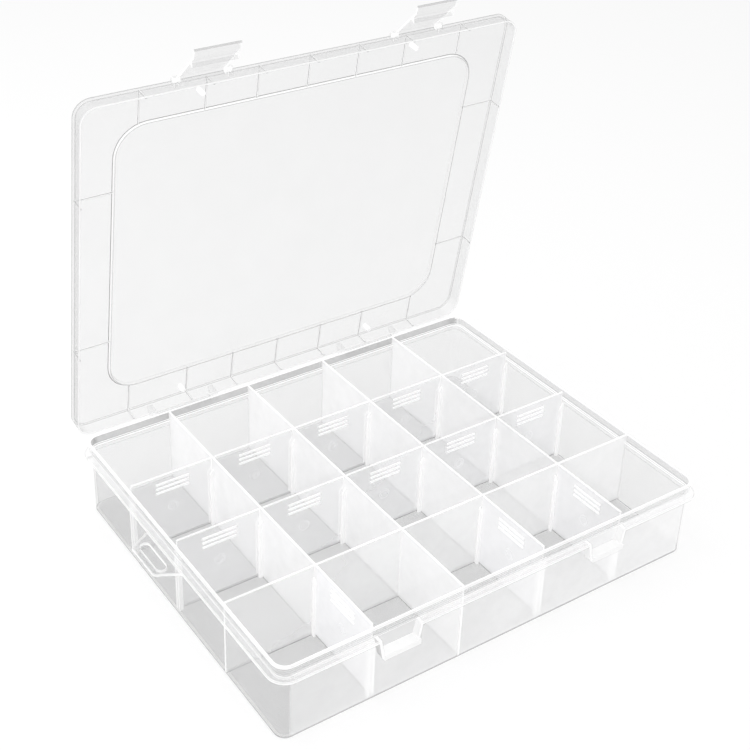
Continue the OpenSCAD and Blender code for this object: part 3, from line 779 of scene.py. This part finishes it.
    def hang_tab(self, edge):
        """The tab with its long slot on the left side."""
        shape = bmesh.new()
        root, tip = -BEAD_X - FLANGE_OUT + OVERLAP, -BEAD_X - FLANGE_OUT - TAB_OUT
        z = FLANGE_Z - FLANGE_T
        first = vert = shape.verts.new((root, TAB_ROOT / 2, z))
        vert = line_to(shape, vert, (tip + TAB_R, TAB_LEN / 2, z))
        vert = arc(shape, vert, (tip + TAB_R, TAB_LEN / 2 - TAB_R, z), math.pi / 2, CORNER_STEPS)
        vert = line_to(shape, vert, (tip, TAB_R - TAB_LEN / 2, z))
        vert = arc(shape, vert, (tip + TAB_R, TAB_R - TAB_LEN / 2, z), math.pi / 2, CORNER_STEPS)
        vert = line_to(shape, vert, (root, -TAB_ROOT / 2, z))
        shape.edges.new((vert, first))
        middle, arm = tip + TAB_OUT / 2, (SLOT_LEN - SLOT_W) / 2
        first = vert = shape.verts.new((middle + SLOT_W / 2, arm, z))
        vert = arc(shape, vert, (middle, arm, z), math.pi, 2 * CORNER_STEPS)
        vert = line_to(shape, vert, (middle - SLOT_W / 2, -arm, z))
        vert = arc(shape, vert, (middle, -arm, z), math.pi, 2 * CORNER_STEPS)
        shape.edges.new((vert, first))
        plate = bmesh.ops.triangle_fill(shape, edges=list(shape.edges), use_beauty=True)["geom"]
        raised = bmesh.ops.extrude_face_region(shape, geom=only(plate, bmesh.types.BMFace))["geom"]
        bmesh.ops.translate(shape, vec=(0.0, 0.0, FLANGE_T), verts=only(raised, bmesh.types.BMVert))
        bmesh.ops.recalc_face_normals(shape, faces=shape.faces)
        # The tab's sides take a painted highlight
        for face in shape.faces:
            level = abs(face.normal.z) > 0.5
            face.material_index = FACE if level else EDGE
        finish_solid(shape, edge)
        return shape

    def execute(self, context):
        sizes, looks = settings()
        edge = sizes.shell_edge
        tray = self.shell(edge)
        join(tray, self.flange())
        gap = STATION_X - CATCH_W / 2 + CATCH_LEG
        # The flange between the catches, its wide faces painted light and its narrow ones a painted highlight
        join(tray, bar(
            (-gap, -BEAD_Y - FLANGE_OUT, FLANGE_Z - FLANGE_T),
            (gap, -BEAD_Y + WALL_INSET + OVERLAP, FLANGE_Z), FLANGE_ROUND, wide=PARTITION))
        self.partitions(tray, edge)
        self.guides(tray, sizes.small_edge)
        self.catches_and_barrels(tray, edge)
        join(tray, self.hang_tab(edge), Matrix.Translation((0.0, TAB_Y, 0.0)))
        materials = shell_materials("tray", looks, clear_plastic(
            "tray_plastic", looks.shell_colour, looks.shell_haze, SHELL_ROUGHNESS, FACE_SHADES, FACE_HAZES,
            shadow=SHELL_SHADOW))
        # The floor's haze, painted darker as shade
        materials.append(clear_plastic(
            "tray_floor_plastic", looks.floor_colour, looks.floor_haze, FLOOR_ROUGHNESS,
            FLOOR_SHADES, FLOOR_HAZES, shadow=FLOOR_SHADOW))
        # The partitions' haze, painted light and with painted glow
        materials.append(clear_plastic(
            "tray_partition_plastic", looks.partition_colour, looks.partition_haze, PARTITION_ROUGHNESS,
            PARTITION_SHADES, PARTITION_HAZES, glow=looks.partition_painted_glow))
        stand_in_for(new_piece("clear_tray", tray, materials), "tray")
        return {"FINISHED"}


class OBJECT_OT_thread_box_lid(bpy.types.Operator):
    """Makes the clear lid with its border ribs, pegs, hinge ears and latch lugs"""

    bl_idname = "object.thread_box_lid"
    bl_label = "Lid"

    def shell(self, edge):
        """Skirt, border and middle panel in one skin, closed by the panel's two faces."""
        shape = bmesh.new()

        def rim(inset, z):
            return outline(shape, LID_X - inset, LID_Y - inset, CORNER_R + SKIRT_IN - inset, z)

        def recess(out, z):
            return outline(shape, LID_X - BORDER_X + out, LID_Y - BORDER_Y + out, PANEL_R + out, z)

        loops = [
            recess(0.0, PANEL_Z + LID_T), recess(0.0, LID_TOP), rim(0.0, LID_TOP), rim(0.0, BORDER_Z),
            rim(0.0, SKIRT_Z), rim(SKIRT_T, SKIRT_Z), rim(SKIRT_T, BORDER_Z),
            rim(SKIRT_T + RIB_OUT, BORDER_Z),
            recess(LID_T + RIB_OUT, BORDER_Z), recess(LID_T, BORDER_Z), recess(LID_T, PANEL_Z),
            recess(LID_T - RIB_OUT, PANEL_Z)]
        # Each band paints light or shade by place: painted highlights on the recess's steps and the skirt's
        # edge, painted shade folds at the skirt's top, inside fold and round the panel, a painted shade line
        # round the recess, and the skirt painted darker as shade
        skin(shape, loops, (EDGE, FACE, FOLD, SKIRT, EDGE, SKIRT, FOLD, FACE, LINE, EDGE, FOLD))
        cap(shape, loops[0], FACE)
        cap(shape, loops[-1], FACE)
        finish_solid(shape, edge)
        return shape

    def ribs(self, lid, edge):
        """Stiffening ribs across the border, running up the inside of the skirt."""
        inner_x, inner_y = LID_X - SKIRT_T, LID_Y - SKIRT_T
        far_x, far_y = LID_X - BORDER_X + LID_T, LID_Y - BORDER_Y + LID_T
        low, high, half = BORDER_Z - RIB_OUT, BORDER_Z + OVERLAP, RIB_W / 2
        bars = []
        for x in [side * place for place in RIB_X for side in (-1, 1) if place or side > 0]:
            bars += [
                ((x - half, far_y - OVERLAP, low), (x + half, inner_y + OVERLAP, high)),
                ((x - half, inner_y - SKIRT_RIB, SKIRT_Z), (x + half, inner_y + OVERLAP, BORDER_Z))]
        for y in (-RIB_Y, RIB_Y):
            bars += [
                ((far_x - OVERLAP, y - half, low), (inner_x + OVERLAP, y + half, high)),
                ((inner_x - SKIRT_RIB, y - half, SKIRT_Z), (inner_x + OVERLAP, y + half, BORDER_Z))]
        for turn in (0, 180):
            half_turn = Matrix.Rotation(math.radians(turn), 4, "Z")
            for corners in bars:
                # Each rib's narrow faces take a painted highlight and its rounded edges a painted shade line
                join(lid, bar(*corners, edge, crease=LINE), half_turn)

    def fittings(self, lid, edge):
        """Pegs, hinge ears with their pins, and latch lugs."""
        ear = (
            (LID_Y - OVERLAP, SKIRT_Z + OVERLAP), (LID_Y - OVERLAP, PANEL_Z),
            (HINGE_Y + BARREL_R * math.cos(EAR_SLOPE), HINGE_Z + BARREL_R * math.sin(EAR_SLOPE)),
            (HINGE_Y, HINGE_Z - BARREL_R), (BEAD_Y + FLANGE_OUT + SEAT_GAP, SKIRT_Z + OVERLAP))
        lug = (
            (-LID_Y + OVERLAP, LATCH_Z + LUG_R + LUG_FLARE), (LATCH_Y, LATCH_Z + LUG_R),
            (LATCH_Y, LATCH_Z - LUG_R), (-LID_Y + OVERLAP, LATCH_Z - LUG_R - LUG_FLARE))
        # Pegs are painted highlight all over; the ears' narrow faces and the lugs' rounded edges take a
        # painted highlight
        for station in (-STATION_X, STATION_X):
            for hand in (-1, 1):
                peg = (station, hand * (LID_Y - PEG_INSET), BORDER_Z - PEG_LEN / 2)
                join(lid, rod(peg, (0, 0, 1), PEG_R, PEG_LEN))
                x = station + hand * (BARREL_LEN / 2 + EAR_GAP + EAR_T / 2)
                join(lid, slab(
                    ear, EAR_T, edge, upright(x), {2: ((HINGE_Y, HINGE_Z), -EAR_SLOPE - math.pi / 2)}))
                reach = EAR_GAP + PIN_LEN + OVERLAP
                x = station + hand * (BARREL_LEN / 2 + EAR_GAP + OVERLAP - reach / 2)
                join(lid, rod((x, HINGE_Y, HINGE_Z), (1, 0, 0), PIN_R, reach, FACE))
                x = station + hand * (LATCH_W / 2 + LUG_GAP + LUG_T / 2)
                join(lid, slab(
                    lug, LUG_T, edge, upright(x), {1: ((LATCH_Y, LATCH_Z), math.pi)}, thin=FACE, crease=EDGE))

    def execute(self, context):
        sizes, looks = settings()
        lid = self.shell(sizes.shell_edge)
        self.ribs(lid, sizes.small_edge)
        self.fittings(lid, sizes.small_edge)
        bmesh.ops.transform(lid, matrix=OPENED, verts=lid.verts)
        materials = shell_materials("lid", looks, clear_plastic(
            "lid_plastic", looks.lid_colour, looks.lid_haze, LID_ROUGHNESS, FACE_SHADES, FACE_HAZES))
        # The lid's skirt, its haze painted darker as shade
        materials.append(clear_plastic(
            "lid_skirt_plastic", looks.lid_colour, looks.lid_haze, LID_ROUGHNESS,
            SKIRT_SHADES, SKIRT_HAZES))
        stand_in_for(new_piece("clear_lid", lid, materials), "lid")
        return {"FINISHED"}


class OBJECT_OT_thread_box_latches(bpy.types.Operator):
    """Makes the two swing latches"""

    bl_idname = "object.thread_box_latches"
    bl_label = "Latches"

    def latch(self, edge):
        """A closed latch about its own pivot: barrel, plate, thumb lip and hook."""
        plate_in = LATCH_R - LATCH_T
        kink = -LATCH_LEN + THUMB_H
        hook_top = CATCH_Z - HOOK_GAP - LATCH_Z
        hook_reach = plate_in - CATCH_GAP - HOOK_BITE
        start = -math.sqrt(LATCH_R ** 2 - plate_in ** 2)
        # Distances in front of the pivot turn to -Y
        profile = [(-y, z) for y, z in (
            (LATCH_R, 0.0), (plate_in, start), (plate_in, hook_top), (hook_reach, hook_top),
            (hook_reach, hook_top - HOOK_T / 2), (plate_in, hook_top - HOOK_T * 3 / 2), (plate_in, kink),
            (plate_in + THUMB_OUT, -LATCH_LEN), (LATCH_R + THUMB_OUT, -LATCH_LEN), (LATCH_R, kink))]
        sweep = math.atan2(start, -plate_in) - math.pi
        barrel = {0: ((0.0, 0.0), sweep % -math.tau)}
        latch = slab(profile, LATCH_W, edge, upright(0.0), barrel, thin=FACE, crease=FACE)
        # The thumb lip's end takes a painted shade fold, the plate's sides a painted highlight
        for face in latch.faces:
            middle = face.calc_center_median()
            if middle.z < edge - LATCH_LEN:
                face.material_index = FOLD
            elif abs(middle.x) > LATCH_W / 2 - edge:
                face.material_index = EDGE
        reach = LUG_GAP + LUG_T - STUB_INSET + OVERLAP
        for hand in (-1, 1):
            x = hand * (LATCH_W / 2 - OVERLAP + reach / 2)
            join(latch, rod((x, 0.0, 0.0), (1, 0, 0), PIN_R, reach))
        return latch

    def execute(self, context):
        sizes, looks = settings()
        materials = shell_materials("latch", looks, clear_plastic(
            "latch_plastic", looks.lid_colour, looks.latch_haze, LATCH_ROUGHNESS,
            LATCH_SHADES, LATCH_HAZES))
        for node, side in zip(LATCHES, (-1, 1)):
            latch = self.latch(sizes.small_edge)
            pivot = Matrix.Translation((side * STATION_X, LATCH_Y, LATCH_Z))
            bmesh.ops.transform(
                latch, matrix=OPENED @ pivot @ Matrix.Rotation(-LATCH_OPEN, 4, "X"), verts=latch.verts)
            stand_in_for(new_piece("swing_" + node, latch, materials), node)
        return {"FINISHED"}


class OBJECT_OT_thread_box_dividers(bpy.types.Operator):
    """Makes the lift-out dividers with their grip ridges and moulding marks"""

    bl_idname = "object.thread_box_dividers"
    bl_label = "Dividers"

    def divider(self, node, sizes):
        """One divider, made along X and then turned and moved to its place."""
        low, high = (Vector(corner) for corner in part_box(node))
        size = high - low
        turned = node in FRONT_DIVIDERS
        along, depth = (size.y, size.x) if turned else (size.x, size.y)
        plate = (depth - sizes.grip_out) / 2.0
        # The plate takes a painted highlight band at the top, a painted shade line at its foot and painted
        # highlights on its edges
        shape = bar(
            (-along / 2, -plate, low.z), (along / 2, plate, high.z), sizes.small_edge,
            crease=EDGE, banded=True)
        near, far = -plate - sizes.grip_out / 2, -plate + sizes.grip_out / 2
        for n in range(GRIPS):
            top = high.z - sizes.grip_drop - n * sizes.grip_step
            # Grip ridges painted highlight all over
            join(shape, bar(
                (-sizes.grip_length / 2, -plate - sizes.grip_out, top - sizes.grip_width),
                (sizes.grip_length / 2, far, top), sizes.grip_out / 2, wide=EDGE, crease=EDGE))
        inner, outer = sizes.mark_radius - sizes.grip_width, sizes.mark_radius
        mark = ring(((far, inner), (near, inner), (near, outer), (far, outer)), "Y")
        finish_solid(mark, sizes.small_edge / 2, FACE)
        join(shape, mark, Matrix.Translation((0.0, 0.0, (low.z + high.z) / 2)))
        spot = Matrix.Translation(((low.x + high.x) / 2, (low.y + high.y) / 2, 0.0))
        if turned:
            spot.translation.x = high.x - plate
            spot = spot @ Matrix.Rotation(-math.pi / 2, 4, "Z")
        else:
            spot.translation.y = high.y - plate
        bmesh.ops.transform(shape, matrix=spot, verts=shape.verts)
        return shape

    def execute(self, context):
        sizes, looks = settings()
        # The dividers' haze, painted light and with painted glow
        materials = shell_materials("divider", looks, clear_plastic(
            "divider_hazy_painted_glow_plastic", looks.divider_colour, looks.divider_haze, DIVIDER_ROUGHNESS,
            PARTITION_SHADES, PARTITION_HAZES, glow=looks.partition_painted_glow))
        for node in DIVIDERS:
            piece = new_piece("lift_out_" + node, self.divider(node, sizes), materials)
            stand_in_for(piece, node)
        return {"FINISHED"}


class SCENE_OT_thread_box_studio(bpy.types.Operator):
    """Makes the white floor, the soft lights, the world and the camera"""

    bl_idname = "scene.thread_box_studio"
    bl_label = "Studio"

    def execute(self, context):
        scene = context.scene
        scene.view_settings.view_transform = "Standard"
        scene.cycles.transparent_max_bounces = SEE_THROUGH
        shape = bmesh.new()
        bmesh.ops.create_grid(shape, x_segments=1, y_segments=1, size=STAGE_SIZE)
        bmesh.ops.translate(shape, verts=shape.verts, vec=(0.0, 0.0, CAD_BOX[0][2] - STAGE_DROP))
        new_piece("studio_floor", shape, [studio_floor()])
        self.world(scene)
        self.lamps(scene)
        self.camera(scene)
        return {"FINISHED"}

    def world(self, scene):
        """White surroundings, a little weaker as light than where they are seen."""
        world = bpy.data.worlds.new("white_studio")
        scene.world = world
        world.use_nodes = True
        tree = world.node_tree
        tree.nodes.clear()
        output = add_node(tree, "ShaderNodeOutputWorld", (600, 0))
        light = add_node(tree, "ShaderNodeBackground", (300, 0))
        light.inputs["Color"].default_value = (1.0, 1.0, 1.0, 1.0)
        strength = add_range(
            tree, (0, 0), seen_directly(tree, (-600, 0)), 0.0, 1.0, WORLD_LIGHT, WORLD_SEEN)
        tree.links.new(strength, light.inputs["Strength"])
        tree.links.new(light.outputs["Background"], output.inputs["Surface"])

    def lamps(self, scene):
        """Large square lamps that face the box."""
        for name, place, side, power in SOFTBOXES:
            data = bpy.data.lights.new(name, "AREA")
            data.shape = "SQUARE"
            data.size = side
            data.energy = power
            lamp = bpy.data.objects.new(name, data)
            scene.collection.objects.link(lamp)
            aim = (SOFTBOX_AIM - Vector(place)).to_track_quat("-Z", "Y")
            lamp.matrix_world = Matrix.Translation(place) @ aim.to_matrix().to_4x4()

    def camera(self, scene):
        """The camera that took the photograph, as fitted to it."""
        data = bpy.data.cameras.new("photo_camera")
        data.sensor_width = SENSOR_MM
        data.lens = FOCAL_LENGTH * SENSOR_MM / PHOTO_SIDE
        data.shift_x = (PHOTO_SIDE / 2 - AHEAD_X) / PHOTO_SIDE
        data.shift_y = (AHEAD_Y - PHOTO_SIDE / 2) / PHOTO_SIDE
        data.clip_start = CLIP_START
        camera = bpy.data.objects.new("photo_camera", data)
        scene.collection.objects.link(camera)
        up = CAMERA_RIGHT.cross(CAMERA_FORWARD).normalized()
        right = CAMERA_FORWARD.cross(up)
        turn = Matrix((right, up, -CAMERA_FORWARD)).transposed().to_4x4()
        camera.matrix_world = Matrix.Translation(CAMERA_PLACE) @ turn
        scene.camera = camera


class VIEW3D_PT_thread_box(bpy.types.Panel):
    """Lists the pieces of the thread box"""

    bl_label = "Thread Box"
    bl_idname = "VIEW3D_PT_thread_box"
    bl_space_type = "VIEW_3D"
    bl_region_type = "UI"
    bl_category = "Thread Box"

    def draw(self, context):
        column = self.layout.column(align=True)
        for group in (context.scene.thread_box_sizes, context.scene.thread_box_looks):
            for name in group.__annotations__:
                column.prop(group, name)
            column.separator()
        for operator in OPERATORS:
            column.operator(operator.bl_idname)


OPERATORS = (
    SCENE_OT_thread_box_studio,
    OBJECT_OT_thread_box_tray,
    OBJECT_OT_thread_box_lid,
    OBJECT_OT_thread_box_latches,
    OBJECT_OT_thread_box_dividers,
)
CLASSES = (ThreadBoxSizes, ThreadBoxLooks, *OPERATORS, VIEW3D_PT_thread_box)


def register():
    """Adds the classes and their settings."""
    for cls in CLASSES:
        bpy.utils.register_class(cls)
    bpy.types.Scene.thread_box_sizes = PointerProperty(type=ThreadBoxSizes)
    bpy.types.Scene.thread_box_looks = PointerProperty(type=ThreadBoxLooks)


def unregister():
    """Takes the classes and their settings away."""
    del bpy.types.Scene.thread_box_looks
    del bpy.types.Scene.thread_box_sizes
    for cls in reversed(CLASSES):
        bpy.utils.unregister_class(cls)


def main():
    """Builds every piece in order."""
    register()
    bpy.ops.scene.thread_box_studio()
    bpy.ops.object.thread_box_tray()
    bpy.ops.object.thread_box_lid()
    bpy.ops.object.thread_box_latches()
    bpy.ops.object.thread_box_dividers()


if __name__ == "__main__":
    main()
